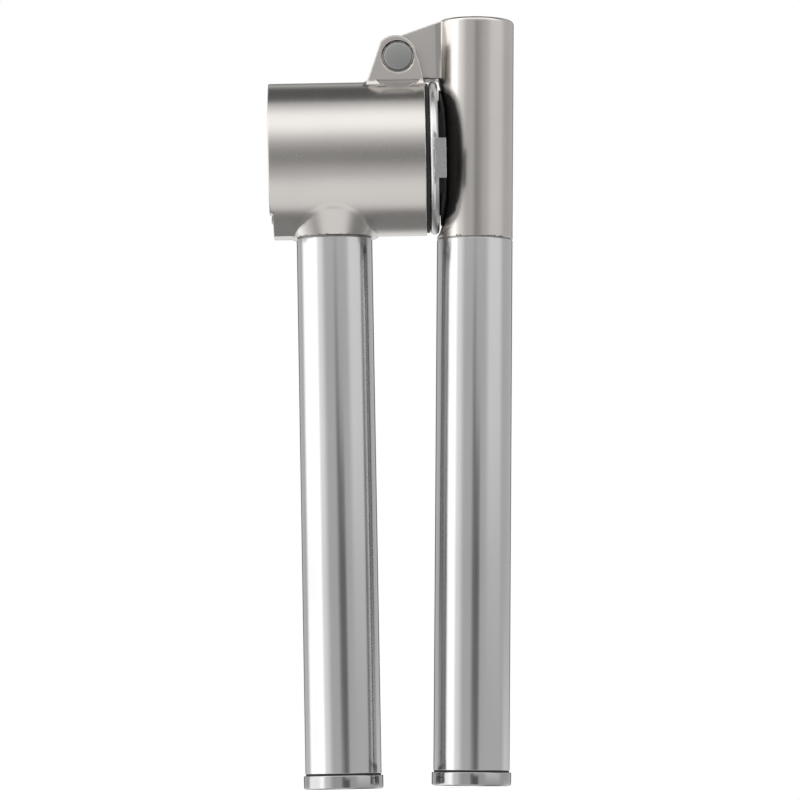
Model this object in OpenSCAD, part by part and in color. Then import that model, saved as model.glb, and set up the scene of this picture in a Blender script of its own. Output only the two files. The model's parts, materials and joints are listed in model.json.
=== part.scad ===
// Hinged garlic press with two round tubular handles, modelled closed and standing on its end caps.
// Origin: middle of the footprint, on the surface it stands on. +Z runs up the handles, +X from the
// chamber handle towards the lever handle, and the hinge pin lies along Y.

/* [Handles] */
// Outer diameter of both handle tubes
handle_d = 16.7; // [15:0.1:19]
// Wall of the handle tubes
tube_wall = 0.9; // [0.6:0.1:1.5]
// Height of an end cap
cap_h = 3; // [2:0.1:5]
// How much wider an end cap is than its tube
cap_lip = 0.7; // [0.2:0.1:1.5]
// Thickness of the black seal between a tube and its end cap
cap_seal_h = 0.4; // [0.2:0.05:0.8]
// Thickness of the dark ring between a tube and its casting
top_ring_h = 0.3; // [0.2:0.05:0.8]
// Diameter of the tie rod inside each tube
rod_d = 5; // [4:0.5:6]
// Lean of the closed lever towards the chamber handle, degrees
lean = 1.45; // [0:0.05:2]

/* [Hinge] */
// Height of the hinge pin's axis
hinge_z = 160.65; // [155:0.05:166]
// From the hinge axis to the chamber handle's axis
chamber_offset = 14.7; // [14:0.1:16]
// From the hinge axis to the lever handle's axis
lever_offset = 17.3; // [16.8:0.1:18]
// Outside width over the two ears
ears_w = 14; // [13:0.2:16]
// Width of the slot between the ears
slot_w = 7.6; // [6:0.2:9]
// Thickness of the lever's tongue in the slot
tongue_w = 6.8; // [5:0.2:6.8]
// Diameter of the hinge pin's shank
pin_d = 5; // [4:0.1:5.2]
// Diameter of the hinge pin's two flat heads
pin_head_d = 6.1; // [5.8:0.1:6.8]

/* [Chamber] */
// Outer diameter of the round chamber
chamber_d = 34.2; // [33:0.1:36]
// Length of the chamber
chamber_len = 34.5; // [33:0.1:36]
// How far the chamber's mouth lies past the hinge axis
mouth_x = 5.8; // [5:0.1:6.5]
// Depth of the chamber's axis below the hinge axis
axis_drop = 21.9; // [21.5:0.1:22.5]
// Diameter of the bore that takes the sieve insert
bore_d = 30.8; // [30.4:0.1:31.2]
// Diameter of the outlet beyond the sieve
outlet_d = 28; // [26:0.2:28.6]

/* [Sieve insert] */
// Outer diameter of the insert's sleeve
sleeve_d = 30.3; // [30:0.1:30.4]
// Sheet thickness of the sleeve
sleeve_wall = 0.65; // [0.5:0.05:0.7]
// Thickness of the perforated sieve
sieve_t = 0.8; // [0.6:0.1:1.2]
// Diameter of one hole of the sieve
sieve_hole_d = 1.8; // [1.2:0.1:2]
// Distance between neighbouring holes
sieve_pitch = 3; // [2.8:0.1:3.1]
// Diameter over the rolled flange
flange_d = 33.8; // [33:0.1:34]
// Thickness of the rolled edge
bead_d = 2; // [1.6:0.1:2.2]

/* [Plunger] */
// Diameter of the plunger's domed rim
plunger_d = 26.4; // [25:0.1:26.6]
// Diameter of the pin that the plunger swings on
plunger_pin_d = 3; // [2.5:0.1:3.2]

/* [Hidden] */

$fn = 64;
eps = 0.01;
past = 1;
fit = 0.05;

casting_color = [0.72, 0.70, 0.67];
tube_color = [0.66, 0.66, 0.66];
polished_color = [0.80, 0.80, 0.80];
pin_color = [0.45, 0.46, 0.45];
black_color = [0.05, 0.05, 0.05];

// Hinge and handles
seam_drop = 39.4;
lever_seam_drop = 39.7;
lever_reach = 160.04;
spigot_len = 14;
cap_spigot_len = 7;
cap_floor = 1.6;
rod_entry = 12;
spacer_len = 5;
head_top = 8.9;
head_edge = 0.8;
chamber_axis_z = hinge_z - axis_drop;
seam_z = hinge_z - seam_drop;
chamber_left = mouth_x - chamber_len;
right_reach = (lever_offset + handle_d / 2) * cos(lean) + head_top * sin(lean);
hinge_x = -(chamber_left + right_reach) / 2;
spigot_r = handle_d / 2 - tube_wall - fit;
boss_foot_r = 9.5;
boss_flare_r = 13;
boss_flare_h = 6.1;

// Ears and tongue, seen along the hinge axis with the pin at the origin
ear_arc_r = 4.68;
ear_arc_x = -0.5;
ear_left = [-8.15, -9];
ear_right = [[4.75, -1.4], [5.4, -4.2], [mouth_x, -9]];
eye_r = 4.65;
eye_clearance_r = 5.3;
tongue_foot = -4.4;
washer_t = 0.3;
washer_r = 4.3;
head_recess = 1.2;
counterbore_r = 3.6;

// Underside of the chamber
pad_w = 8;
pad_drop = 17.2;
pad_sink = 0.2;
end_notch = 0.72;
notch_drop = 12.9;

// Insert and plunger, as distances from the hinge axis along the chamber
flange_x = 8.55;
plunger_x = -9.03;
plunger_z = -20.98;
plunger_face = 4.6;
plunger_back = 1.2;
sieve_x = plunger_x - plunger_face - 2.45;
shoulder_x = sieve_x - sieve_t;
tab_turn = 7;
tab_len = 8.7;
tab_reach = 10.2;
tab_t = 0.5;
tab_inset = 0.1;
relief = 1.3;
gasket_r = 16.5;
arm_d = 10;
arm_neck_w = 6;
arm_eye_r = 2.5;
lug_w = 2;
lug_gap = 0.15;
lug_r = 2.6;

// Pocket in the lever's head, and the guard in it
pocket_r = 17.5;
pocket_x = 10.2;
pocket_flat_r = 9.3;
pocket_curve = 18.2;
guard_gap = 0.3;
guard_r = 15.2;
guard_w = 18;
guard_plug_r = 12.6;
guard_plug_h = 1;

// Points on an arc about c from angle a to angle b
function arc(c, r, a, b, n) = [
    for (i = [0 : n]) c + r * [cos(a + (b - a) * i / n), sin(a + (b - a) * i / n)]
];

// Places its children with the hinge axis at the origin
module at_hinge() {
    translate([hinge_x, 0, hinge_z]) children();
}

// Places its children in the closed lever's own frame: hinge axis at the origin, handle along Z
module at_lever() {
    at_hinge() rotate([0, lean, 0]) children();
}

// Places a handle's parts, drawn upwards from the bottom of its end cap
module at_chamber_handle() {
    translate([hinge_x - chamber_offset, 0, 0]) children();
}

module at_lever_handle() {
    at_lever() translate([lever_offset, 0, -lever_reach]) children();
}

// A cylinder along X from x0 to x1 on the chamber's axis, with the hinge axis at the origin
module along_chamber(r, x0, x1) {
    translate([x0, 0, -axis_drop]) rotate([0, 90, 0]) cylinder(r = r, h = x1 - x0, $fn = 96);
}

// A solid of revolution about the chamber's axis, from points [x, radius]
module turned(points) {
    translate([0, 0, -axis_drop]) rotate([0, 90, 0])
        rotate_extrude($fn = 96) polygon([for (p = points) [p[1], p[0]]]);
}

// Turns its children about the chamber's axis to where the insert's tab stands
module at_insert() {
    at_hinge() translate([0, 0, -axis_drop]) rotate([tab_turn, 0, 0]) translate([0, 0, axis_drop]) children();
}

// A cylinder along Y, centred on the hinge axis
module along_hinge(r, w) {
    rotate([90, 0, 0]) cylinder(r = r, h = w, center = true);
}

// A plate standing in the XZ plane, centred on Y
module plate(w) {
    rotate([90, 0, 0]) linear_extrude(height = w, center = true) children();
}

// ---- Handle parts, shared by both sides ----

module tube(len) {
    bottom = cap_h + cap_seal_h;
    color(tube_color) translate([0, 0, bottom]) difference() {
        cylinder(d = handle_d, h = len - top_ring_h - bottom);
        translate([0, 0, -past])
            cylinder(r = handle_d / 2 - tube_wall, h = len + 2 * past);
    }
}

module ring(r, h, z) {
    color(black_color) translate([0, 0, z]) difference() {
        cylinder(r = r, h = h);
        translate([0, 0, -past]) cylinder(r = spigot_r, h = h + 2 * past);
    }
}

module end_cap() {
    color(polished_color) difference() {
        union() {
            rotate_extrude() polygon(concat(
                [[0, 0]],
                arc([(handle_d + cap_lip) / 2 - 0.4, 0.4], 0.4, -90, 0, 5),
                [[(handle_d + cap_lip) / 2, cap_h - 0.2], [(handle_d + cap_lip) / 2 - 0.2, cap_h], [0, cap_h]]
            ));
            translate([0, 0, cap_h - eps]) cylinder(r = spigot_r, h = cap_spigot_len);
        }
        translate([0, 0, cap_floor]) cylinder(d = rod_d, h = cap_h + cap_spigot_len);
    }
}

module tie_rod(len) {
    color(polished_color) translate([0, 0, cap_floor])
        cylinder(d = rod_d, h = len - cap_floor + rod_entry - spigot_len);
}

module rod_spacer(len) {
    color(black_color) translate([0, 0, len / 2]) difference() {
        cylinder(r = spigot_r, h = spacer_len);
        translate([0, 0, -past]) cylinder(d = rod_d, h = spacer_len + 2 * past);
    }
}

// The turned spigot under a casting that the tube slides onto, from its shoulder down
module spigot() {
    translate([0, 0, -spigot_len]) cylinder(r = spigot_r, h = spigot_len + eps);
}

module spigot_hole() {
    translate([0, 0, -spigot_len - past]) cylinder(d = rod_d, h = rod_entry + past);
}

// ---- Chamber side ----

module ear_outline() {
    polygon(concat([ear_left], arc([ear_arc_x, 0], ear_arc_r, 137, 4, 14), ear_right));
}

// The pad under the chamber: a flat underside whose two sides run up into the round just short of tangent
module pad_section() {
    r = chamber_d / 2;
    side = atan(pad_w / 2 / pad_drop) + acos(r / norm([pad_w / 2, pad_drop]));
    top_y = (r - pad_sink) * sin(side);
    top_z = -(r - pad_sink) * cos(side);
    polygon([[-top_y, top_z], [-pad_w / 2, -pad_drop], [pad_w / 2, -pad_drop], [top_y, top_z]]);
}

module chamber_body() {
    color(casting_color) difference() {
        union() {
            at_hinge() along_chamber(chamber_d / 2, chamber_left, mouth_x);
            at_hinge() for (side = [-1, 1]) translate([0, side * (ears_w + slot_w) / 4, 0])
                plate((ears_w - slot_w) / 2) ear_outline();
            translate([hinge_x - chamber_offset, 0, seam_z]) {
                cylinder(r1 = boss_foot_r, r2 = boss_flare_r, h = boss_flare_h);
                translate([0, 0, boss_flare_h - eps])
                    cylinder(r = boss_flare_r, h = seam_drop - axis_drop - boss_flare_h);
                spigot();
            }
            at_hinge() translate([chamber_left + end_notch, 0, -axis_drop]) rotate([90, 0, 90])
                linear_extrude(height = -chamber_left - end_notch - chamber_offset) pad_section();
        }
        at_hinge() along_chamber(bore_d / 2, shoulder_x, mouth_x + past);
        at_hinge() along_chamber(outlet_d / 2, chamber_left - past, mouth_x);
        at_hinge() along_hinge(eye_clearance_r, slot_w);
        translate([hinge_x + chamber_left - past, -chamber_d, chamber_axis_z - chamber_d])
            cube([past + end_notch, 2 * chamber_d, chamber_d - notch_drop]);
        at_hinge() along_hinge(pin_d / 2, ears_w + past);
        at_hinge() for (side = [-1, 1]) translate([0, side * (ears_w / 2 + past / 2 - head_recess / 2), 0])
            along_hinge(counterbore_r, head_recess + past);
        translate([hinge_x - chamber_offset, 0, seam_z]) spigot_hole();
    }
}

module hinge_pin() {
    color(pin_color) at_hinge() {
        along_hinge(pin_d / 2, ears_w - head_recess);
        for (side = [-1, 1]) translate([0, side * (ears_w - head_recess) / 2, 0])
            along_hinge(pin_head_d / 2, head_recess - 2 * fit);
    }
}

module hinge_washer(side) {
    color(black_color) at_hinge() translate([0, side * (slot_w - washer_t) / 2, 0]) difference() {
        along_hinge(washer_r, washer_t);
        along_hinge(pin_d / 2, washer_t + past);
    }
}

// The sieve's holes: six sectors of a hexagonal pattern around the middle one
module sieve_holes() {
    rings = 4;
    turned_hole(0, 0);
    for (turn = [0 : 60 : 300], ring = [1 : rings], step = [0 : ring - 1])
        turned_hole(
            sieve_pitch * (ring * cos(turn) + step * cos(turn + 120)),
            sieve_pitch * (ring * sin(turn) + step * sin(turn + 120))
        );
}

module turned_hole(y, z) {
    translate([shoulder_x - past, y, z - axis_drop]) rotate([0, 90, 0])
        cylinder(d = sieve_hole_d, h = sieve_t + 2 * past, $fn = 16);
}

module sieve_insert() {
    sleeve_r = sleeve_d / 2;
    bead_x = flange_x - bead_d / 2;
    bead_r = (flange_d - bead_d) / 2;
    color(polished_color) at_insert() difference() {
        union() {
            turned([
                [shoulder_x, 0],
                [shoulder_x, sleeve_r],
                [flange_x - sleeve_wall, sleeve_r],
                [flange_x - sleeve_wall, bead_r],
                [flange_x, bead_r],
                [flange_x, sleeve_r - sleeve_wall],
                [sieve_x, sleeve_r - sleeve_wall],
                [sieve_x, 0]
            ]);
            translate([bead_x, 0, -axis_drop]) rotate([0, 90, 0])
                rotate_extrude($fn = 96) translate([bead_r, 0]) circle(d = bead_d, $fn = 24);
            translate([bead_x, tab_inset - flange_d / 2, -axis_drop - tab_len / 2])
                cube([tab_reach - bead_x, tab_t, tab_len]);
        }
        sieve_holes();
        for (side = [-1, 1])
            translate([bead_x, -flange_d, -axis_drop + side * (tab_len + relief) / 2 - relief / 2])
                cube([bead_d, flange_d / 2 + 1, relief]);
    }
}

// The black ring on the sleeve, between the chamber's mouth and the rolled flange
module insert_gasket() {
    color(black_color) at_insert() turned([
        [mouth_x + fit, sleeve_d / 2],
        [mouth_x + fit, gasket_r],
        [flange_x - bead_d - fit, gasket_r],
        [flange_x - bead_d - fit, sleeve_d / 2]
    ]);
}

module chamber_tube() {
    at_chamber_handle() tube(seam_z);
}

module chamber_tube_ring() {
    at_chamber_handle() ring(handle_d / 2 - 0.25, top_ring_h, seam_z - top_ring_h);
}

module chamber_cap_seal() {
    at_chamber_handle() ring(handle_d / 2 - 0.1, cap_seal_h, cap_h);
}

module chamber_end_cap() {
    at_chamber_handle() end_cap();
}

module chamber_tie_rod() {
    at_chamber_handle() tie_rod(seam_z);
}

module chamber_rod_spacer() {
    at_chamber_handle() rod_spacer(seam_z);
}

// ---- Lever side ----

lever_seam = lever_reach - lever_seam_drop;

// The tongue that fills the slot and widens into the head, hinge axis at the origin
module tongue_outline() {
    circle(r = eye_r);
    polygon([
        [-2, tongue_foot + 0.4], [0, tongue_foot], [lever_offset, tongue_foot],
        [lever_offset, head_top - 0.15], [10.3, head_top - 0.15], [-1.6, 4.37], [-2, 4.2]
    ]);
}

// The pocket's floor from radius r inwards, as points [x, radius]: a shallow dish with a flat middle
function dish(r) = concat(
    arc([pocket_x - pocket_curve, pocket_flat_r], pocket_curve,
        asin((r - pocket_flat_r) / pocket_curve), 0, 12),
    [[pocket_x, 0]]
);

// The pocket that clears the insert's flange, coaxial with the chamber when closed
module pocket() {
    turned(concat([[mouth_x - past, 0], [mouth_x - past, pocket_r]], dish(pocket_r)));
}

module lever_head() {
    color(casting_color) {
        difference() {
            at_lever() translate([lever_offset, 0, 0]) {
                translate([0, 0, -lever_seam_drop]) rotate_extrude() polygon(concat(
                    [[0, 0], [handle_d / 2, 0]],
                    arc([handle_d / 2 - head_edge, lever_seam_drop + head_top - head_edge],
                        head_edge, 0, 90, 6),
                    [[0, lever_seam_drop + head_top]]
                ));
                translate([0, 0, -lever_seam_drop]) spigot();
            }
            at_hinge() pocket();
            at_lever() translate([lever_offset, 0, -lever_seam_drop]) spigot_hole();
        }
        difference() {
            at_lever() plate(tongue_w) tongue_outline();
            at_lever() along_hinge(pin_d / 2 + fit, tongue_w + past);
        }
        plunger_arm();
    }
}

// The arm that reaches from the head through the mouth to the plunger's pin
module plunger_arm() {
    at_hinge() difference() {
        union() {
            translate([0, 0, axis_drop + plunger_z])
                along_chamber(arm_d / 2, plunger_x + 6, lever_offset - 2);
            translate([plunger_x, 0, plunger_z]) along_hinge(arm_eye_r, arm_neck_w);
            translate([plunger_x, -arm_neck_w / 2, plunger_z - arm_eye_r + eps])
                cube([7, arm_neck_w, 2 * (arm_eye_r - eps)]);
        }
        translate([plunger_x, 0, plunger_z]) along_hinge(plunger_pin_d / 2 + fit, arm_neck_w + past);
    }
}

module mouth_guard() {
    left = flange_x + guard_gap;
    color(black_color) at_hinge() difference() {
        intersection() {
            turned(concat(
                [[flange_x - guard_plug_h, 0], [flange_x - guard_plug_h, guard_plug_r]],
                [[left, guard_plug_r], [left, guard_r]],
                dish(guard_r)
            ));
            translate([0, -guard_w / 2, -axis_drop - chamber_d]) cube([lever_offset, guard_w, 2 * chamber_d]);
        }
        translate([0, 0, axis_drop + plunger_z]) along_chamber(arm_d / 2 + fit, 0, lever_offset);
    }
}

module lever_tube() {
    at_lever_handle() tube(lever_seam);
}

module lever_tube_ring() {
    at_lever_handle() ring(handle_d / 2 - 0.25, top_ring_h, lever_seam - top_ring_h);
}

module lever_cap_seal() {
    at_lever_handle() ring(handle_d / 2 - 0.1, cap_seal_h, cap_h);
}

module lever_end_cap() {
    at_lever_handle() end_cap();
}

module lever_tie_rod() {
    at_lever_handle() tie_rod(lever_seam);
}

module lever_rod_spacer() {
    at_lever_handle() rod_spacer(lever_seam);
}

// ---- Plunger ----

module plunger() {
    lug_y = arm_neck_w / 2 + lug_gap + lug_w / 2;
    color(polished_color) at_hinge() translate([plunger_x, 0, plunger_z]) difference() {
        union() {
            intersection() {
                sphere(d = plunger_d, $fn = 96);
                translate([-plunger_face, -plunger_d, -plunger_d])
                    cube([plunger_face - plunger_back, 2 * plunger_d, 2 * plunger_d]);
            }
            for (side = [-1, 1]) translate([0, side * lug_y, 0]) {
                along_hinge(lug_r, lug_w);
                translate([-plunger_back - past, -lug_w / 2, -lug_r + eps])
                    cube([plunger_back + past, lug_w, 2 * (lug_r - eps)]);
            }
        }
        along_hinge(arm_eye_r + 0.3, 2 * lug_y - lug_w);
        along_hinge(plunger_pin_d / 2, plunger_d);
    }
}

module plunger_pin() {
    color(pin_color) at_hinge() translate([plunger_x, 0, plunger_z])
        along_hinge(plunger_pin_d / 2, arm_neck_w + 2 * (lug_gap + lug_w));
}

chamber_body();
hinge_pin();
hinge_washer(-1);  // hinge_washer_front
hinge_washer(1);  // hinge_washer_back
sieve_insert();
insert_gasket();
chamber_tube();
chamber_tube_ring();
chamber_cap_seal();
chamber_end_cap();
chamber_tie_rod();
chamber_rod_spacer();
lever_head();
mouth_guard();
lever_tube();
lever_tube_ring();
lever_cap_seal();
lever_end_cap();
lever_tie_rod();
lever_rod_spacer();
plunger();
plunger_pin();
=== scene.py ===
"""Looks of the garlic press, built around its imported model.

Lengths are in millimetres until a mesh is made. Castings and pressed parts are described by signed distance
fields (negative inside) and turned into meshes by dual contouring; turned parts are lathed from a profile.
"""

import json
import math

import bpy
import numpy as np
from mathutils import Matrix, Vector


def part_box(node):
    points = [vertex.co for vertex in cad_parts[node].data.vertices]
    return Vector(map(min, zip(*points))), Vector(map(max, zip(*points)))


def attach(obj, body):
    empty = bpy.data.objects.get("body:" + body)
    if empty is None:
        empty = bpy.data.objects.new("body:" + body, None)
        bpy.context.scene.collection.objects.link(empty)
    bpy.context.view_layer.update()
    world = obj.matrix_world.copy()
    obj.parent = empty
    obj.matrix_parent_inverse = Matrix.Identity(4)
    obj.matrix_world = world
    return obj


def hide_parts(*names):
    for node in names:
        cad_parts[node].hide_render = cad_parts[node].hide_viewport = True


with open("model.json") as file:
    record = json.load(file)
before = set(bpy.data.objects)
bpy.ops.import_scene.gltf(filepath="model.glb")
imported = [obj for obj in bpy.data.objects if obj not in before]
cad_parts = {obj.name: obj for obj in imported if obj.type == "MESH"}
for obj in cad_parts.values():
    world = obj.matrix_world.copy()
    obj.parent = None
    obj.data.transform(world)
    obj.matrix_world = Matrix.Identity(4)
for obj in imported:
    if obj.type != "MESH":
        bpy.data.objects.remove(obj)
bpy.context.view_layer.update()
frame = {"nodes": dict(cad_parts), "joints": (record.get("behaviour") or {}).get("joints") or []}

# ---------------------------------------------------------------------------------------------------------
# Places, from the frame
# ---------------------------------------------------------------------------------------------------------
MM = 0.001
JOINT = {j["name"]: Vector(j["pos_m"]) / MM for j in frame["joints"]}
HINGE = JOINT["lever_hinge"]
AXIS_Z = JOINT["insert_turn"].z - HINGE.z  # the chamber's axis, below the hinge's
PLUNGER = JOINT["plunger_swing"] - HINGE


def edges(node):
    """Lowest and highest corner of a CAD node, in millimetres."""
    low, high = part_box(node)
    return low / MM, high / MM


tube_low, tube_high = edges("chamber_tube")
body_low, body_high = edges("chamber_body")
HANDLE_R = (tube_high.x - tube_low.x) / 2
CHAMBER_R = (body_high.y - body_low.y) / 2
CHAMBER_LEFT = body_low.x - HINGE.x
CHAMBER_HANDLE_X = (tube_low.x + tube_high.x) / 2 - HINGE.x

# Rounded edges and fillets that several parts share
EDGE = 0.25
SOFT_EDGE = 0.3
FINE_EDGE = 0.2
OVERLAP = 1  # how far shapes run into each other where they join
TINY = 1e-6  # too small to matter

# Handles
LEAN = math.radians(1.45)
LEVER_HANDLE_X = 17.3
LEVER_REACH = 160.04
SEAM_Z = -39.4
LEVER_SEAM_Z = -39.7
TUBE_WALL = 0.9
SPIGOT_R = 7.4
SPIGOT_LEN = 14
ROD_R = 2.5
ROD_ENTRY = 12
CAP_H = 3
CAP_R = HANDLE_R + 0.35
CAP_FLOOR = 1.6
CAP_SPIGOT = 7
CAP_SEAL_H = 0.4
CAP_FOOT_EDGE = 0.4
CAP_TOP_EDGE = 0.2
RING_H = 0.3
RING_INSET = 0.25
RING_EDGE = 0.08
SEAL_INSET = 0.1
SEAL_EDGE = 0.1
TUBE_EDGE = 0.12

# Hinge
EAR_HALF = 7
EAR_EDGE = 0.3
EAR_FILLET = 1
SLOT_HALF = 3.8
TONGUE_HALF = 3.4
PIN_R = 2.5
PIN_HEAD_R = 3.05
PIN_HEAD_H = 1.1
PIN_FACE = 6.95
PIN_EDGE = 0.3
COUNTERBORE_R = 3.6
COUNTERBORE_FLOOR = 5.8
COUNTERBORE_EDGE = 0.05
EYE_CLEARANCE_R = 5.3
SCOOP_R = 7.05
SCOOP_TOP = -5.3
SCOOP_HALF = 6.6
EAR_ARC_X, EAR_ARC_R = -0.5, 4.68
EAR_OUTLINE = [(-8.15, -9), (5.8, -9), (5.4, -4.2), (4.75, -1.4), (4.17, 0.33), (-3.95, 2.87)]

# Chamber
MOUTH_X = 5.8
BORE_R = 15.4
OUTLET_R = 14
SHOULDER_X = -16.88
BOSS_SLOPE = math.radians(30)
BOSS_FOOT_R = 9.5
BOSS_R = 13
BOSS_CROWN_EDGE = 0.8
PAD_OUTLINE = [(-7.91, -15.16), (-4, -17.2), (4, -17.2), (7.91, -15.16)]
NOTCH_DEPTH = 0.72
NOTCH_DROP = 12.9

# Lever head
HEAD_TOP = 8.9
HEAD_EDGE = 0.9
EYE_R = 4.65
EYE_BORE_EDGE = 0.12
TONGUE_FOOT = -4.4
TONGUE_OUTLINE = [(-2, -4), (0, -4.4), (17.3, -4.4), (17.3, 8.75), (10.3, 8.75), (-1.6, 4.37), (-2, 4.2)]
POCKET_R = 17.5
POCKET_X = 10.2
POCKET_FLAT_R = 9.3
POCKET_CURVE = 18.2
POCKET_EDGE = 1
POCKET_RIM = 0.7
TONGUE_FILLET = 0.15
ARM_R = 5
ARM_START = 6  # from the plunger's pin
ARM_NECK_END = 7
ARM_ROOT = LEVER_HANDLE_X - 2
ARM_FILLET = 0.6
ARM_NECK_HALF = 3
ARM_EYE_R = 2.5
PLUNGER_PIN_R = 1.5

# Black disc in the head's pocket: painted shade, a dark piece where the pocket is only in shadow
SHADE_DISC_LEFT = 8.85
SHADE_DISC_R = 15.2
SHADE_DISC_HALF = 9
SHADE_PLUG_R = 12.6
SHADE_PLUG_LEFT = 7.55
SHADE_DISC_RIM = 0.6

# Sieve insert
FLANGE_X = 8.55
BEAD_R = 1
BEAD_RING_R = 15.9
BEAD_FILLET = 0.15
# Black ring in the gap behind the flange: painted shade, standing for the shadow in that gap
GAP_SHADE_R = 16.5
GAP_SHADE_X = (5.85, 6.5)
GAP_SHADE_EDGE = 0.15
SLEEVE_R = 15.15
SLEEVE_WALL = 0.65
SIEVE_X = -16.08
SIEVE_PITCH = 3
SIEVE_HOLE_R = 0.9
SIEVE_HOLE_EDGE = 0.1
TAB_TURN = math.radians(7)
TAB_HALF = 4.35
TAB_END = 10.2
TAB_Y = (-16.8, -16.3)
RELIEF = 1.3

# Plunger
DOME_R = 13.2
PLUNGER_FACE = 4.6
PLUNGER_BACK = 1.2
LUG = (3.15, 5.15)  # inner and outer face, from the middle
LUG_R = 2.6
LUG_FILLET = 0.5
ARM_EYE_GAP = 0.3

# ---------------------------------------------------------------------------------------------------------
# Distance fields
# ---------------------------------------------------------------------------------------------------------


def union(a, b, r=0.0):
    """Both solids, joined with a fillet of radius r."""
    if not r:
        return np.minimum(a, b)
    return np.maximum(r, np.minimum(a, b)) - np.hypot(np.maximum(r - a, 0), np.maximum(r - b, 0))


def common(a, b, r=0.0):
    """What two solids share, with edges rounded to radius r."""
    if not r:
        return np.maximum(a, b)
    return np.minimum(-r, np.maximum(a, b)) + np.hypot(np.maximum(r + a, 0), np.maximum(r + b, 0))


def cut(a, b, r=0.0):
    """The first solid less the second, with edges rounded to radius r."""
    return common(a, -b, r)


def span(v, low, high):
    """What lies between two planes, or between two radii."""
    return np.maximum(low - v, v - high)


def right_of(a, b, u, v):
    """Distance to the right of the line from a to b."""
    (u0, v0), (u1, v1) = a, b
    return ((u - u0) * (v1 - v0) - (v - v0) * (u1 - u0)) / math.hypot(u1 - u0, v1 - v0)


def convex(points, u, v):
    """The inside of a convex outline given counter-clockwise."""
    sides = [right_of(a, b, u, v) for a, b in zip(points, points[1:] + points[:1])]
    return np.maximum.reduce(np.broadcast_arrays(*sides))


def from_axis(y, z):
    """Distance from the chamber's axis."""
    return np.hypot(y, z - AXIS_Z)


def dish(r, x):
    """What lies left of the pocket's floor, a shallow dish with a flat middle."""
    outwards, along = np.maximum(r - POCKET_FLAT_R, 0), np.maximum(x - POCKET_X + POCKET_CURVE, 0)
    return np.hypot(outwards, along) - POCKET_CURVE


def chamber_field(x, y, z):
    """The barrel with its ears, pad, boss and spigot, less the slot, the bore and the holes."""
    r = from_axis(y, z)
    middle, half = (CHAMBER_LEFT + MOUTH_X) / 2, (MOUTH_X - CHAMBER_LEFT) / 2
    barrel = common(r - CHAMBER_R, abs(x - middle) - half, EDGE)

    crown = common(np.hypot(x - EAR_ARC_X, z) - EAR_ARC_R, right_of(EAR_OUTLINE[-1], EAR_OUTLINE[0], x, z))
    outline = union(crown, convex(EAR_OUTLINE, x, z))
    ears = common(outline, abs(y) - EAR_HALF, EAR_EDGE)
    solid = union(barrel, ears, EAR_FILLET)
    scoop = np.maximum(common(np.hypot(x, z) - SCOOP_R, z - SCOOP_TOP), SCOOP_HALF - abs(y))
    solid = cut(solid, scoop, SOFT_EDGE)
    slot = np.maximum(np.maximum(abs(y) - SLOT_HALF, -barrel), AXIS_Z - z)
    solid = cut(solid, slot, FINE_EDGE)
    solid = cut(solid, common(np.hypot(x, z) - EYE_CLEARANCE_R, abs(y) - SLOT_HALF))

    from_handle = np.hypot(x - CHAMBER_HANDLE_X, y)
    cone = (from_handle - BOSS_FOOT_R - (z - SEAM_Z) * math.tan(BOSS_SLOPE)) * math.cos(BOSS_SLOPE)
    boss = np.maximum(common(cone, from_handle - BOSS_R, BOSS_CROWN_EDGE), span(z, SEAM_Z, AXIS_Z))
    pad_length = span(x, CHAMBER_LEFT + NOTCH_DEPTH, CHAMBER_HANDLE_X)
    pad = np.maximum(pad_length, convex(PAD_OUTLINE, y, z - AXIS_Z))
    solid = union(union(solid, pad), boss, SOFT_EDGE)
    spigot = np.maximum(from_handle - SPIGOT_R, span(z, SEAM_Z - SPIGOT_LEN, SEAM_Z + OVERLAP))
    solid = union(solid, spigot)

    notch = np.maximum(x - CHAMBER_LEFT - NOTCH_DEPTH, z - AXIS_Z + NOTCH_DROP)
    solid = cut(solid, notch, FINE_EDGE)
    bore = np.maximum(r - BORE_R, SHOULDER_X - x)
    solid = cut(solid, union(bore, r - OUTLET_R), EDGE)
    rod_hole = np.maximum(from_handle - ROD_R, z - SEAM_Z + SPIGOT_LEN - ROD_ENTRY)
    solid = cut(solid, rod_hole)
    from_hinge = np.hypot(x, z)
    head_hole = np.maximum(from_hinge - COUNTERBORE_R, COUNTERBORE_FLOOR - abs(y))
    return cut(solid, union(from_hinge - PIN_R, head_hole), COUNTERBORE_EDGE)


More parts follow.
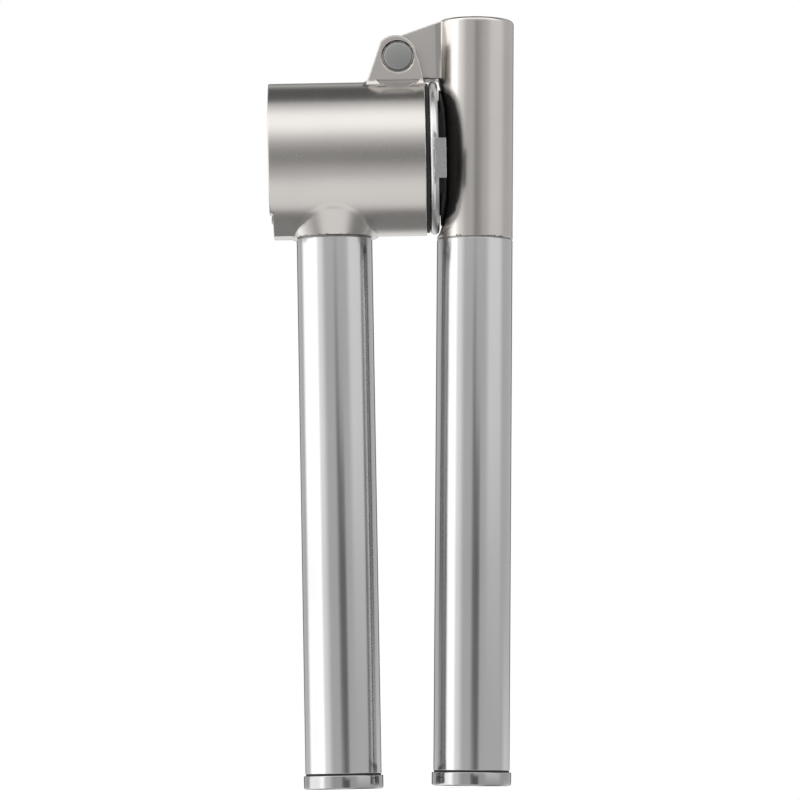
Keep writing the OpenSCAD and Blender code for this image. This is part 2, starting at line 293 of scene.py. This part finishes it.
def lever_field(x, y, z):
    """In the hinge's coordinates; the head and tongue are drawn in the lever's own, turned by the lean."""
    u = x * math.cos(LEAN) - z * math.sin(LEAN)
    w = x * math.sin(LEAN) + z * math.cos(LEAN)
    from_handle = np.hypot(u - LEVER_HANDLE_X, y)
    head = np.maximum(common(from_handle - HANDLE_R, w - HEAD_TOP, HEAD_EDGE), LEVER_SEAM_Z - w)
    r = from_axis(y, z)
    pocket = common(r - POCKET_R, dish(r, x), POCKET_EDGE)
    head = cut(head, pocket, POCKET_RIM)

    outline = union(np.hypot(u, w) - EYE_R, convex(TONGUE_OUTLINE, u, w))
    tongue = common(outline, abs(y) - TONGUE_HALF, EDGE)
    solid = union(head, np.maximum(tongue, u - LEVER_HANDLE_X), TONGUE_FILLET)
    solid = np.maximum(solid, -np.maximum(pocket, -(w - TONGUE_FOOT)))

    arm_x, arm_z = x - PLUNGER.x, z - PLUNGER.z
    from_pin, beside = np.hypot(arm_x, arm_z), abs(y) - ARM_NECK_HALF
    arm = np.maximum(np.hypot(y, arm_z) - ARM_R, span(x, PLUNGER.x + ARM_START, ARM_ROOT))
    neck = common(np.maximum(abs(arm_z) - ARM_EYE_R, span(arm_x, 0, ARM_NECK_END)), beside, SOFT_EDGE)
    eye = common(from_pin - ARM_EYE_R, beside, SOFT_EDGE)
    arm = cut(union(union(arm, neck, ARM_FILLET), eye), from_pin - PLUNGER_PIN_R)
    solid = union(solid, arm)

    spigot = np.maximum(from_handle - SPIGOT_R, span(w, LEVER_SEAM_Z - SPIGOT_LEN, LEVER_SEAM_Z + OVERLAP))
    rod_hole = np.maximum(from_handle - ROD_R, w - LEVER_SEAM_Z + SPIGOT_LEN - ROD_ENTRY)
    solid = cut(union(solid, spigot), rod_hole)
    return cut(solid, np.hypot(x, z) - PIN_R, EYE_BORE_EDGE)


def pocket_shade_field(x, y, z):
    """A black disc of painted shade that fills the pocket's dish, flat at the front and back, with the
    plunger's arm through it.
    """
    r = from_axis(y, z)
    disc = common(common(r - SHADE_DISC_R, dish(r, x), SHADE_DISC_RIM), SHADE_DISC_LEFT - x, SOFT_EDGE)
    plug = common(np.maximum(r - SHADE_PLUG_R, x - SHADE_DISC_LEFT - OVERLAP), SHADE_PLUG_LEFT - x, SOFT_EDGE)
    solid = common(union(disc, plug, SOFT_EDGE), abs(y) - SHADE_DISC_HALF, SOFT_EDGE)
    return cut(solid, np.hypot(y, z - PLUNGER.z) - ARM_R, FINE_EDGE)


def insert_field(x, y, z):
    """The sleeve, its rolled flange with the tab, and the sieve, turned a little about the chamber's axis."""
    v = y * math.cos(TAB_TURN) + (z - AXIS_Z) * math.sin(TAB_TURN)
    w = (z - AXIS_Z) * math.cos(TAB_TURN) - y * math.sin(TAB_TURN)
    r = np.hypot(v, w)
    sleeve_inside = SLEEVE_R - SLEEVE_WALL
    sleeve = common(span(r, sleeve_inside, SLEEVE_R), span(x, SHOULDER_X, FLANGE_X), FINE_EDGE)
    brim = common(span(r, sleeve_inside, BEAD_RING_R), span(x, FLANGE_X - SLEEVE_WALL, FLANGE_X), FINE_EDGE)
    bead = np.hypot(r - BEAD_RING_R, x - FLANGE_X + BEAD_R) - BEAD_R
    sieve = np.maximum(r - SLEEVE_R, span(x, SHOULDER_X, SIEVE_X))
    solid = union(union(union(sleeve, brim), sieve), bead, BEAD_FILLET)
    tab = np.maximum(span(x, FLANGE_X - BEAD_R, TAB_END), np.maximum(span(v, *TAB_Y), abs(w) - TAB_HALF))
    solid = union(solid, tab)
    beside_tab = abs(abs(w) - TAB_HALF - RELIEF / 2) - RELIEF / 2
    relief = np.maximum(beside_tab, span(x, FLANGE_X - BEAD_R, FLANGE_X + OVERLAP))
    solid = cut(solid, np.maximum(relief, v + BEAD_RING_R))
    holes = np.minimum.reduce([np.hypot(v - a, w - b) for a, b in sieve_centres()]) - SIEVE_HOLE_R
    return cut(solid, np.maximum(holes, x - SIEVE_X - OVERLAP), SIEVE_HOLE_EDGE)


def sieve_centres(rings=4):
    """Hexagonal rings of holes around the middle one."""
    centres = [(0.0, 0.0)]
    for sector in range(6):
        out, along = math.radians(60 * sector), math.radians(60 * sector + 120)
        for ring in range(1, rings + 1):
            for step in range(ring):
                centres.append((
                    SIEVE_PITCH * (ring * math.cos(out) + step * math.cos(along)),
                    SIEVE_PITCH * (ring * math.sin(out) + step * math.sin(along)),
                ))
    return centres


def plunger_field(x, y, z):
    """A disc with a domed edge, and two lugs that hold the arm's eye between them."""
    x, z = x - PLUNGER.x, z - PLUNGER.z
    from_pin = np.hypot(x, z)
    dome = common(np.sqrt(x * x + y * y + z * z) - DOME_R, span(x, -PLUNGER_FACE, -PLUNGER_BACK), SOFT_EDGE)
    lug_root = np.maximum(abs(z) - LUG_R, span(x, -PLUNGER_BACK - OVERLAP, 0))
    lug = common(union(from_pin - LUG_R, lug_root), span(abs(y), *LUG), EDGE)
    solid = union(dome, lug, LUG_FILLET)
    clearance = np.maximum(from_pin - ARM_EYE_R - ARM_EYE_GAP, abs(y) - LUG[0])
    return cut(cut(solid, clearance), from_pin - PLUNGER_PIN_R)


# ---------------------------------------------------------------------------------------------------------
# Meshes
# ---------------------------------------------------------------------------------------------------------
QEF_PULL = 0.03  # how strongly a contoured point is drawn to the middle of its crossings
PROBE = 0.01  # step for slopes of a field
SETTLE_TIMES, SETTLE_SHARE = 2, 0.8  # contoured points are moved this share of the way onto the surface
SHARP_FROM = math.radians(30)
SEGMENTS, WIDE_SEGMENTS, PIN_SEGMENTS = 192, 256, 128  # sides of a turned piece


def steps(*runs):
    """Grid lines from runs of (start, stop, spacing)."""
    return np.concatenate([np.arange(a, b - TINY, s) for a, b, s in runs] + [[runs[-1][1]]])


def normals(field, points):
    """Unit slopes of a field at some points."""
    slope = np.empty_like(points)
    for axis in range(3):
        shift = np.zeros(3)
        shift[axis] = PROBE
        slope[:, axis] = field(*(points + shift).T) - field(*(points - shift).T)
    return slope / np.maximum(np.linalg.norm(slope, axis=1, keepdims=True), TINY ** 2)


def contour(field, xs, ys, zs):
    """Points, normals and four-sided faces of the field's zero surface on a grid, by dual contouring."""
    lines = [xs, ys, zs]
    values = field(xs[:, None, None], ys[None, :, None], zs[None, None, :])
    inside = values < 0
    corners, faces, hits, slopes, cells = np.array(values.shape), [], [], [], []
    last, unit = corners - 2, np.eye(3, dtype=int)
    for axis in range(3):
        u, v = unit[(axis + 1) % 3], unit[(axis + 2) % 3]
        low = np.moveaxis(inside, axis, 0)[:-1]
        high = np.moveaxis(inside, axis, 0)[1:]
        found = np.argwhere(np.moveaxis(low != high, 0, axis))
        found = found[((found >= u + v) & (found <= last)).all(1)]
        f0, f1 = values[tuple(found.T)], values[tuple((found + unit[axis]).T)]
        share = f0 / (f0 - f1)
        point = np.stack([line[found[:, k]] for k, line in enumerate(lines)], 1)
        point[:, axis] += share * (lines[axis][found[:, axis] + 1] - point[:, axis])
        ring = np.stack([found, found - u, found - u - v, found - v], 1)
        ids = np.ravel_multi_index(tuple(np.moveaxis(ring, 2, 0)), corners)
        faces.append(np.where((f0 < 0)[:, None], ids, ids[:, ::-1]))
        hits.append(np.repeat(point, 4, 0))
        slopes.append(np.repeat(normals(field, point), 4, 0))
        cells.append(ids.ravel())
    used, index = np.unique(np.concatenate(cells), return_inverse=True)
    hit, slope, count = np.concatenate(hits), np.concatenate(slopes), len(used)

    def gather(weights):
        return np.bincount(index, weights, count)

    total = gather(np.ones(len(index)))
    centre = np.stack([gather(hit[:, k]) for k in range(3)], 1) / total[:, None]
    offset = np.einsum("ij,ij->i", slope, hit - centre[index])
    products = [gather(slope[:, a] * slope[:, b]) for a in range(3) for b in range(3)]
    matrix = np.stack(products, 1).reshape(-1, 3, 3)
    right = np.stack([gather(slope[:, k] * offset) for k in range(3)], 1)
    point = centre + np.linalg.solve(matrix + QEF_PULL * np.eye(3), right[:, :, None])[:, :, 0]
    cell = np.stack(np.unravel_index(used, corners), 1)
    for k, line in enumerate(lines):
        point[:, k] = np.clip(point[:, k], line[cell[:, k]], line[cell[:, k] + 1])
    for _ in range(SETTLE_TIMES):
        point -= SETTLE_SHARE * field(*point.T)[:, None] * normals(field, point)
    lookup = np.searchsorted(used, np.concatenate(faces))
    return point, normals(field, point), lookup


def new_piece(name, mesh, body, slot, nodes, place=Matrix.Identity(4), finish=None):
    """An object for a finished mesh in metres, riding on its body and standing for its CAD nodes."""
    piece = bpy.data.objects.new(name, mesh)
    bpy.context.scene.collection.objects.link(piece)
    piece.matrix_world = place
    mesh.materials.append(MATERIALS[finish or slot])
    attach(piece, body)
    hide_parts(*nodes)
    return piece


def contoured(name, field, grid, body, slot, node, finish=None):
    """A piece from a field given in millimetres from the hinge's axis."""
    point, normal, faces = contour(field, *grid)
    mesh = bpy.data.meshes.new(name)
    mesh.from_pydata((point + np.array(HINGE)) * MM, [], faces.tolist())
    mesh.shade_smooth()
    mesh.normals_split_custom_set_from_vertices(normal)
    return new_piece(name, mesh, body, slot, [node], finish=finish)


def arc(centre, r, start, stop, count=6):
    """Points on an arc from angle start to angle stop, in degrees."""
    turns = [math.radians(start + (stop - start) * i / count) for i in range(count + 1)]
    return [(centre[0] + r * math.cos(t), centre[1] + r * math.sin(t)) for t in turns]


def lathed(name, profile, body, slot, node, place, segments=SEGMENTS, finish=None):
    """A piece turned about its own Z from a closed profile of (radius, height) in millimetres."""
    turn = np.linspace(0, 2 * math.pi, segments, endpoint=False)
    verts, rows = [], []
    for r, h in profile:
        start = len(verts)
        if r < TINY:
            verts.append((0.0, 0.0, h))
            rows.append([start] * segments)
        else:
            verts.extend(zip(r * np.cos(turn), r * np.sin(turn), np.full(segments, float(h))))
            rows.append(list(range(start, start + segments)))
    faces = []
    for low, high in zip(rows, rows[1:] + rows[:1]):
        if low[0] == low[1] and high[0] == high[1]:
            continue
        for i in range(segments):
            j = (i + 1) % segments
            faces.append(list(dict.fromkeys([low[i], low[j], high[j], high[i]])))
    mesh = bpy.data.meshes.new(name)
    mesh.from_pydata(np.array(verts) * MM, [], faces)
    mesh.shade_smooth()
    mesh.set_sharp_from_angle(angle=SHARP_FROM)
    return new_piece(name, mesh, body, slot, [node], place, finish)


# ---------------------------------------------------------------------------------------------------------
# Materials
# ---------------------------------------------------------------------------------------------------------
NOISE_LOW, NOISE_HIGH = 0.3, 0.7  # most of a noise texture's values lie between these
ROUGHNESS_SPREAD = 0.15  # of the roughness, each way
METAL_PATCHES, MATT_PATCHES = 0.03, 0.2  # of the colour, each way
METAL_DETAIL, MATT_DETAIL = 4.0, 3.0
MATT_DEPTH = 0.004
MATT_SPECULAR = 0.25


def surface(name, base, metallic, roughness):
    """A plain material, with its tree and shader for adding detail."""
    material = bpy.data.materials.new(name)
    material.use_nodes = True
    shader = material.node_tree.nodes["Principled BSDF"]
    shader.inputs["Base Color"].default_value = (*base, 1)
    shader.inputs["Metallic"].default_value = metallic
    shader.inputs["Roughness"].default_value = roughness
    return material, material.node_tree, shader


def noise(tree, scale, stretch=(1, 1, 1), detail=2.0):
    """Noise with a given number of grains per metre, squeezed or stretched along the object's axes."""
    where = tree.nodes.new("ShaderNodeTexCoord")
    mapping = tree.nodes.new("ShaderNodeMapping")
    mapping.inputs["Scale"].default_value = stretch
    texture = tree.nodes.new("ShaderNodeTexNoise")
    texture.inputs["Scale"].default_value = scale
    texture.inputs["Detail"].default_value = detail
    tree.links.new(where.outputs["Object"], mapping.inputs["Vector"])
    tree.links.new(mapping.outputs["Vector"], texture.inputs["Vector"])
    return texture.outputs["Fac"]


def spread(tree, value, low, high):
    """A noise value stretched over low to high."""
    node = tree.nodes.new("ShaderNodeMapRange")
    ends = {"From Min": NOISE_LOW, "From Max": NOISE_HIGH, "To Min": low, "To Max": high}
    for name, end in ends.items():
        node.inputs[name].default_value = end
    tree.links.new(value, node.inputs["Value"])
    return node.outputs["Result"]


def tinted(tree, shader, value, dark, light):
    """Varies the shader's colour from dark to light with a noise value."""
    ramp = tree.nodes.new("ShaderNodeValToRGB")
    for end, position, rgb in zip(ramp.color_ramp.elements, (NOISE_LOW, NOISE_HIGH), (dark, light)):
        end.position, end.color = position, (*rgb, 1)
    tree.links.new(value, ramp.inputs["Fac"])
    tree.links.new(ramp.outputs["Color"], shader.inputs["Base Color"])


def bumped(tree, shader, value, depth):
    """Raises the surface by up to depth, in millimetres, with a noise value."""
    bump = tree.nodes.new("ShaderNodeBump")
    bump.inputs["Distance"].default_value = depth * MM
    tree.links.new(value, bump.inputs["Height"])
    tree.links.new(bump.outputs["Normal"], shader.inputs["Normal"])


def rough(tree, value, roughness):
    """A roughness that varies a little with a noise value."""
    return spread(tree, value, roughness * (1 - ROUGHNESS_SPREAD), roughness * (1 + ROUGHNESS_SPREAD))


def scaled(rgb, factor):
    return tuple(c * factor for c in rgb)


def metal(name, base, roughness, grain, stretch=(1, 1, 1), depth=0.002, patch=60, satin=None):
    """Steel with a fine grain that varies its roughness and height, and broad faint patches in its colour.

    satin is an axis and the places along it, in metres, where the finish starts and ends turning to satin.
    """
    material, tree, shader = surface(name, base, 1.0, roughness)
    tinted(tree, shader, noise(tree, patch), scaled(base, 1 - METAL_PATCHES), scaled(base, 1 + METAL_PATCHES))
    fine = noise(tree, grain, stretch, METAL_DETAIL)
    gloss = rough(tree, fine, roughness)
    if satin:
        axis, start, stop = satin
        place = tree.nodes.new("ShaderNodeSeparateXYZ")
        tree.links.new(tree.nodes.new("ShaderNodeTexCoord").outputs["Object"], place.inputs[0])
        blend = tree.nodes.new("ShaderNodeMapRange")
        for socket, value in zip(("From Min", "From Max", "To Max"), (start, stop, SATIN)):
            blend.inputs[socket].default_value = value
        tree.links.new(place.outputs[axis], blend.inputs["Value"])
        tree.links.new(gloss, blend.inputs["To Min"])
        gloss = blend.outputs["Result"]
    tree.links.new(gloss, shader.inputs["Roughness"])
    bumped(tree, shader, fine, depth)
    return material


def matt(name, base, roughness, grain):
    """Black rubber or plastic with a fine moulded grain; the same black also serves as painted shade in the
    head's pocket and in the gap behind the insert's flange.
    """
    material, tree, shader = surface(name, base, 0.0, roughness)
    fine = noise(tree, grain, detail=MATT_DETAIL)
    broad = noise(tree, grain / 6)
    tinted(tree, shader, broad, scaled(base, 1 - MATT_PATCHES), scaled(base, 1 + MATT_PATCHES))
    tree.links.new(rough(tree, fine, roughness), shader.inputs["Roughness"])
    bumped(tree, shader, fine, MATT_DEPTH)
    shader.inputs["Specular IOR Level"].default_value = MATT_SPECULAR
    return material


# The castings are fairly bright, and turn to satin at the ears and at the tongue
SATIN = 0.4
EARS_START = (HINGE.z - 6) * MM
TONGUE_START = (HINGE.x + 8.6) * MM
CAST_STEEL = (0.533, 0.51, 0.488)
MATERIALS = {
    "casting": metal("casting", CAST_STEEL, 0.24, 6000, depth=0.00005,
                     satin=("Z", EARS_START, EARS_START + MM)),
    "head_casting": metal("head_casting", CAST_STEEL, 0.24, 6000, depth=0.00005,
                          satin=("X", TONGUE_START, TONGUE_START - MM / 2)),
    "insert_steel": metal("insert_steel", (0.563, 0.563, 0.563), 0.3, 3000, depth=0.0003),
    "tube_steel": metal("tube_steel", (0.518, 0.518, 0.518), 0.17, 2500, (1, 1, 0.03), 0.00003, 30),
    "polished_steel": metal("polished_steel", (0.563, 0.563, 0.563), 0.14, 3000, depth=0.0003),
    "cap_steel": metal("cap_steel", (0.398, 0.398, 0.398), 0.12, 3000, depth=0.0003),
    "pin_steel": metal("pin_steel", (0.345, 0.353, 0.345), 0.4, 6000),
    # Black rubber for the cap seals, and painted shade for the ring in the gap behind the insert's flange
    "seal_rubber": matt("seal_rubber", (0.02, 0.02, 0.02), 0.6, 4000),
    # Black plastic for the hinge washers and rod spacers, and painted shade for the disc in the head's pocket
    "black_plastic": matt("black_plastic", (0.01, 0.01, 0.01), 0.5, 3000),
}

# ---------------------------------------------------------------------------------------------------------
# Pieces
# ---------------------------------------------------------------------------------------------------------
MARGIN = 0.8  # of a grid around its piece
SMALL_MARGIN = 0.4
CASTING_SPACING = 0.36
INSERT_SPACING = 0.26
SMALL_SPACING = 0.3
# Where the spacing of the chamber's and the insert's grid lines changes
OUTLET_TO = CHAMBER_LEFT + 1
MOUTH_FROM = 5.2
EARS_FROM, EARS_TOP = -9, 5.4  # the ears lie right of the first and above it, and end below the second
FACE_IN, FACE_OUT = 6.2, 7.4  # the ears' faces and edges lie between these
FLANGE_FROM = 6.4
INSERT_END = 17.6


def even(low, high, spacing):
    """Three even sets of grid lines around a box."""
    return [steps((a - MARGIN, b + MARGIN, spacing)) for a, b in zip(low, high)]


def ring_profile(inner, outer, low, high, edge):
    """A ring's section with small rounded outer edges."""
    return ([(inner, low)] + arc((outer - edge, low + edge), edge, -90, 0, 4)
            + arc((outer - edge, high - edge), edge, 0, 90, 4) + [(inner, high)])


spigot_end = SEAM_Z - SPIGOT_LEN
chamber_end = CHAMBER_R + MARGIN
chamber_grid = [
    steps((CHAMBER_LEFT - SMALL_MARGIN, OUTLET_TO, 0.14), (OUTLET_TO, EARS_FROM, 0.45),
          (EARS_FROM, MOUTH_FROM, 0.25), (MOUTH_FROM, MOUTH_X + SMALL_MARGIN, 0.1)),
    steps((-chamber_end, -FACE_OUT, 0.45), (-FACE_OUT, -FACE_IN, 0.12), (-FACE_IN, FACE_IN, 0.45),
          (FACE_IN, FACE_OUT, 0.12), (FACE_OUT, chamber_end, 0.45)),
    steps((spigot_end - MARGIN, EARS_FROM, 0.45), (EARS_FROM, EARS_TOP, 0.2)),
]
contoured("chamber_casting", chamber_field, chamber_grid, "chamber", "casting", "chamber_body")
lever_low = (PLUNGER.x - ARM_EYE_R, -HANDLE_R, spigot_end - OVERLAP)
lever_high = (LEVER_HANDLE_X + HANDLE_R + OVERLAP, HANDLE_R, HEAD_TOP)
contoured("lever_casting", lever_field, even(lever_low, lever_high, CASTING_SPACING),
          "lever", "casting", "lever_head", "head_casting")
# Painted shade: a black disc fills the head's pocket, where there is only shadow
shade_disc_low = (SHADE_PLUG_LEFT, -SHADE_DISC_HALF, AXIS_Z - SHADE_DISC_R)
shade_disc_high = (POCKET_X, SHADE_DISC_HALF, AXIS_Z + SHADE_DISC_R)
contoured("pocket_shade_disc", pocket_shade_field, even(shade_disc_low, shade_disc_high, SMALL_SPACING),
          "lever", "black_plastic", "mouth_guard")
across = steps((-INSERT_END, INSERT_END, INSERT_SPACING))
insert_grid = [
    steps((SHOULDER_X - MARGIN, SIEVE_X + MARGIN, 0.2), (SIEVE_X + MARGIN, FLANGE_FROM, 0.8),
          (FLANGE_FROM, TAB_END + SMALL_MARGIN, 0.1)),
    across,
    across + AXIS_Z,
]
contoured("insert_shell", insert_field, insert_grid,
          "insert", "polished_steel", "sieve_insert", "insert_steel")
chamber_axis = (Matrix.Translation(Vector((HINGE.x, 0, HINGE.z + AXIS_Z)) * MM)
                @ Matrix.Rotation(math.radians(90), 4, "Y"))
# Painted shade: a black ring fills the gap between the chamber's mouth and the flange, which is only in
# shadow
lathed("flange_gap_shade", ring_profile(SLEEVE_R, GAP_SHADE_R, *GAP_SHADE_X, GAP_SHADE_EDGE),
       "insert", "seal_rubber", "insert_gasket", chamber_axis)
plunger_low = PLUNGER - Vector((PLUNGER_FACE, DOME_R, DOME_R))
plunger_high = PLUNGER + Vector((LUG_R, DOME_R, DOME_R))
contoured("plunger_disc", plunger_field, even(plunger_low, plunger_high, SMALL_SPACING),
          "plunger", "polished_steel", "plunger")

# Turned parts of the two handles, upwards from the bottom of the end cap
chamber_handle = Matrix.Translation(Vector((HINGE.x + CHAMBER_HANDLE_X, 0, 0)) * MM)
lever_handle = (Matrix.Translation(HINGE * MM) @ Matrix.Rotation(LEAN, 4, "Y")
                @ Matrix.Translation(Vector((LEVER_HANDLE_X, 0, -LEVER_REACH)) * MM))


def handle(side, place, seam):
    """Tube, dark ring, seal and end cap of one handle, with the seam to the casting at the height given."""
    tube_bottom, tube_top, cap_top = CAP_H + CAP_SEAL_H, seam - RING_H, CAP_H + CAP_SPIGOT
    tube = ring_profile(HANDLE_R - TUBE_WALL, HANDLE_R, tube_bottom, tube_top, TUBE_EDGE)
    lathed(f"{side}_handle_tube", tube, side, "tube_steel", f"{side}_tube", place, WIDE_SEGMENTS)
    ring = ring_profile(SPIGOT_R, HANDLE_R - RING_INSET, tube_top, seam, RING_EDGE)
    lathed(f"{side}_seam_ring", ring, side, "pin_steel", f"{side}_tube_ring", place)
    seal = ring_profile(SPIGOT_R, HANDLE_R - SEAL_INSET, CAP_H, tube_bottom, SEAL_EDGE)
    lathed(f"{side}_cap_gasket", seal, side, "seal_rubber", f"{side}_cap_seal", place)
    cap = ([(0, 0)] + arc((CAP_R - CAP_FOOT_EDGE, CAP_FOOT_EDGE), CAP_FOOT_EDGE, -90, 0)
           + arc((CAP_R - CAP_TOP_EDGE, CAP_H - CAP_TOP_EDGE), CAP_TOP_EDGE, 0, 90, 4)
           + [(SPIGOT_R, CAP_H), (SPIGOT_R, cap_top), (ROD_R, cap_top), (ROD_R, CAP_FLOOR), (0, CAP_FLOOR)])
    lathed(f"{side}_foot_cap", cap, side, "polished_steel", f"{side}_end_cap", place,
           WIDE_SEGMENTS, "cap_steel")


handle("chamber", chamber_handle, HINGE.z + SEAM_Z)
handle("lever", lever_handle, LEVER_REACH + LEVER_SEAM_Z)

half_pin = ([(PIN_R, 0), (PIN_R, PIN_FACE - PIN_HEAD_H), (PIN_HEAD_R, PIN_FACE - PIN_HEAD_H)]
            + arc((PIN_HEAD_R - PIN_EDGE, PIN_FACE - PIN_EDGE), PIN_EDGE, 0, 90, 5) + [(0, PIN_FACE)])
pin_profile = half_pin + [(r, -h) for r, h in half_pin[:0:-1]]
lathed("hinge_rivet", pin_profile, "chamber", "pin_steel", "hinge_pin",
       Matrix.Translation(HINGE * MM) @ Matrix.Rotation(math.radians(90), 4, "X"), PIN_SEGMENTS)

# CAD nodes that keep their own shape
FINISH = {
    "hinge_washer_front": "black_plastic", "hinge_washer_back": "black_plastic",
    "chamber_tie_rod": "polished_steel", "lever_tie_rod": "polished_steel",
    "chamber_rod_spacer": "black_plastic", "lever_rod_spacer": "black_plastic",
    "plunger_pin": "pin_steel",
}
for node, slot in FINISH.items():
    mesh = frame["nodes"][node].data
    mesh.materials.clear()
    mesh.materials.append(MATERIALS[slot])

# ---------------------------------------------------------------------------------------------------------
# Studio
# ---------------------------------------------------------------------------------------------------------
# Soft lights and dark cards on an even backdrop, as the object sees them: name, then azimuth from the
# camera's side (right is plus), half width, soft edge, elevation, half height, soft edge, all in degrees,
# and brightness. POWER multiplies the sum of them all, which never falls below DARKEST.
POWER = 1.333
BACKDROP = 0.52
DARKEST = 0.02
STUDIO = [
    ("key softbox above", 0, 70, 30, 53, 5, 32, 0.76),
    ("floor bounce", 0, 32, 22, -60, 14, 26, 0.36),
    ("dark ceiling behind", 180, 80, 20, 72, 16, 20, -0.42),
    ("dark card behind", 180, 20, 8, 14, 14, 5, -0.46),
    ("pale sweep behind", 180, 60, 20, -22, 12, 10, 0.3),
    ("dark floor around", 180, 116, 24, -62, 26, 14, -0.26),
    ("card in front", 12.5, 3.5, 6, -6, 10, 5, -0.37),
    ("camera", 1.5, 2.5, 5, 0, 5, 18, -0.32),
    ("strip at the left", -87, 22, 14, 5, 35, 20, 0.95),
    ("glow beside the strip", -54, 8, 18, 5, 35, 20, 0.4),
    ("panel at the right", 66, 16, 18, 26.5, 14, 24, 0.3),
]

WHITE = (1, 1, 1, 1)

world = bpy.data.worlds.new("studio")
bpy.context.scene.world = world
world.use_nodes = True
tree = world.node_tree
tree.nodes.clear()


def maths(operation, *values):
    """A maths node on numbers or on other nodes' outputs."""
    node = tree.nodes.new("ShaderNodeMath")
    node.operation = operation
    for socket, value in zip(node.inputs, values):
        if isinstance(value, (int, float)):
            socket.default_value = value
        else:
            tree.links.new(value, socket)
    return node.outputs[0]


def fade(distance, half, soft):
    """1 up to half, smoothly down to 0 over the soft edge."""
    node = tree.nodes.new("ShaderNodeMapRange")
    node.interpolation_type = "SMOOTHSTEP"
    for name, value in zip(("From Min", "From Max", "To Min", "To Max"), (half, half + soft, 1, 0)):
        node.inputs[name].default_value = value
    tree.links.new(distance, node.inputs["Value"])
    return node.outputs["Result"]


direction = tree.nodes.new("ShaderNodeSeparateXYZ")
tree.links.new(tree.nodes.new("ShaderNodeTexCoord").outputs["Generated"], direction.inputs[0])
towards_camera = maths("MULTIPLY", direction.outputs["Y"], -1)
azimuth = maths("DEGREES", maths("ARCTAN2", direction.outputs["X"], towards_camera))
elevation = maths("DEGREES", maths("ARCSINE", direction.outputs["Z"]))
light = BACKDROP
for _, az, az_half, az_soft, el, el_half, el_soft, level in STUDIO:
    from_az = maths("ABSOLUTE", maths("WRAP", maths("SUBTRACT", azimuth, az), 180, -180))
    from_el = maths("ABSOLUTE", maths("SUBTRACT", elevation, el))
    share = maths("MULTIPLY", fade(from_az, az_half, az_soft), fade(from_el, el_half, el_soft))
    light = maths("ADD", light, maths("MULTIPLY", share, level))
light = maths("MULTIPLY", maths("MAXIMUM", light, DARKEST), POWER)
studio_light = tree.nodes.new("ShaderNodeBackground")
tree.links.new(light, studio_light.inputs["Strength"])
plain_white = tree.nodes.new("ShaderNodeBackground")
for background in (studio_light, plain_white):
    background.inputs["Color"].default_value = WHITE
pick = tree.nodes.new("ShaderNodeMixShader")
tree.links.new(tree.nodes.new("ShaderNodeLightPath").outputs["Is Camera Ray"], pick.inputs["Fac"])
tree.links.new(studio_light.outputs[0], pick.inputs[1])
tree.links.new(plain_white.outputs[0], pick.inputs[2])
tree.links.new(pick.outputs[0], tree.nodes.new("ShaderNodeOutputWorld").inputs["Surface"])
bpy.context.scene.view_settings.view_transform = "Standard"

# Pale round floor, in metres
FLOOR_R = 0.28
FLOOR_SIDES = 128
FLOOR_DROP = 0.00002  # below the feet, so that the two planes don't meet
FLOOR_GLOW = 0.27
floor_mesh = bpy.data.meshes.new("floor")
turns = np.linspace(0, 2 * math.pi, FLOOR_SIDES, endpoint=False)
rim = [(FLOOR_R * math.cos(t), FLOOR_R * math.sin(t), 0) for t in turns]
floor_mesh.from_pydata(rim, [], [list(range(FLOOR_SIDES))])
floor = bpy.data.objects.new("floor", floor_mesh)
bpy.context.scene.collection.objects.link(floor)
floor.location.z = -FLOOR_DROP
floor.visible_glossy = False  # polished feet mirror the even studio, not the edge of the floor
floor_material, floor_tree, floor_shader = surface("floor", (0.9, 0.9, 0.9), 0.0, 0.9)
tinted(floor_tree, floor_shader, noise(floor_tree, 40), (0.89, 0.89, 0.89), (0.91, 0.91, 0.91))
floor_shader.inputs["Specular IOR Level"].default_value = 0
floor_shader.inputs["Emission Color"].default_value = WHITE
floor_shader.inputs["Emission Strength"].default_value = FLOOR_GLOW
floor_mesh.materials.append(floor_material)

# ---------------------------------------------------------------------------------------------------------
# Camera, with its place in metres
# ---------------------------------------------------------------------------------------------------------
CAMERA_DISTANCE = 1.05
CAMERA_HEIGHT = 0.0034
CAMERA_RIGHT = -0.00086  # of the hinge
PITCH_UP = math.radians(4.458)
ROLL = math.radians(-1.03)
SENSOR = 36
LENS = 215.1

camera = bpy.data.objects.new("camera", bpy.data.cameras.new("camera"))
bpy.context.scene.collection.objects.link(camera)
camera.data.sensor_width = SENSOR
camera.data.lens = LENS
camera.data.clip_start, camera.data.clip_end = 0.05, 20
camera.matrix_world = (Matrix.Translation((HINGE.x * MM + CAMERA_RIGHT, -CAMERA_DISTANCE, CAMERA_HEIGHT))
                       @ Matrix.Rotation(math.radians(90) + PITCH_UP, 4, "X") @ Matrix.Rotation(ROLL, 4, "Z"))
bpy.context.scene.camera = camera
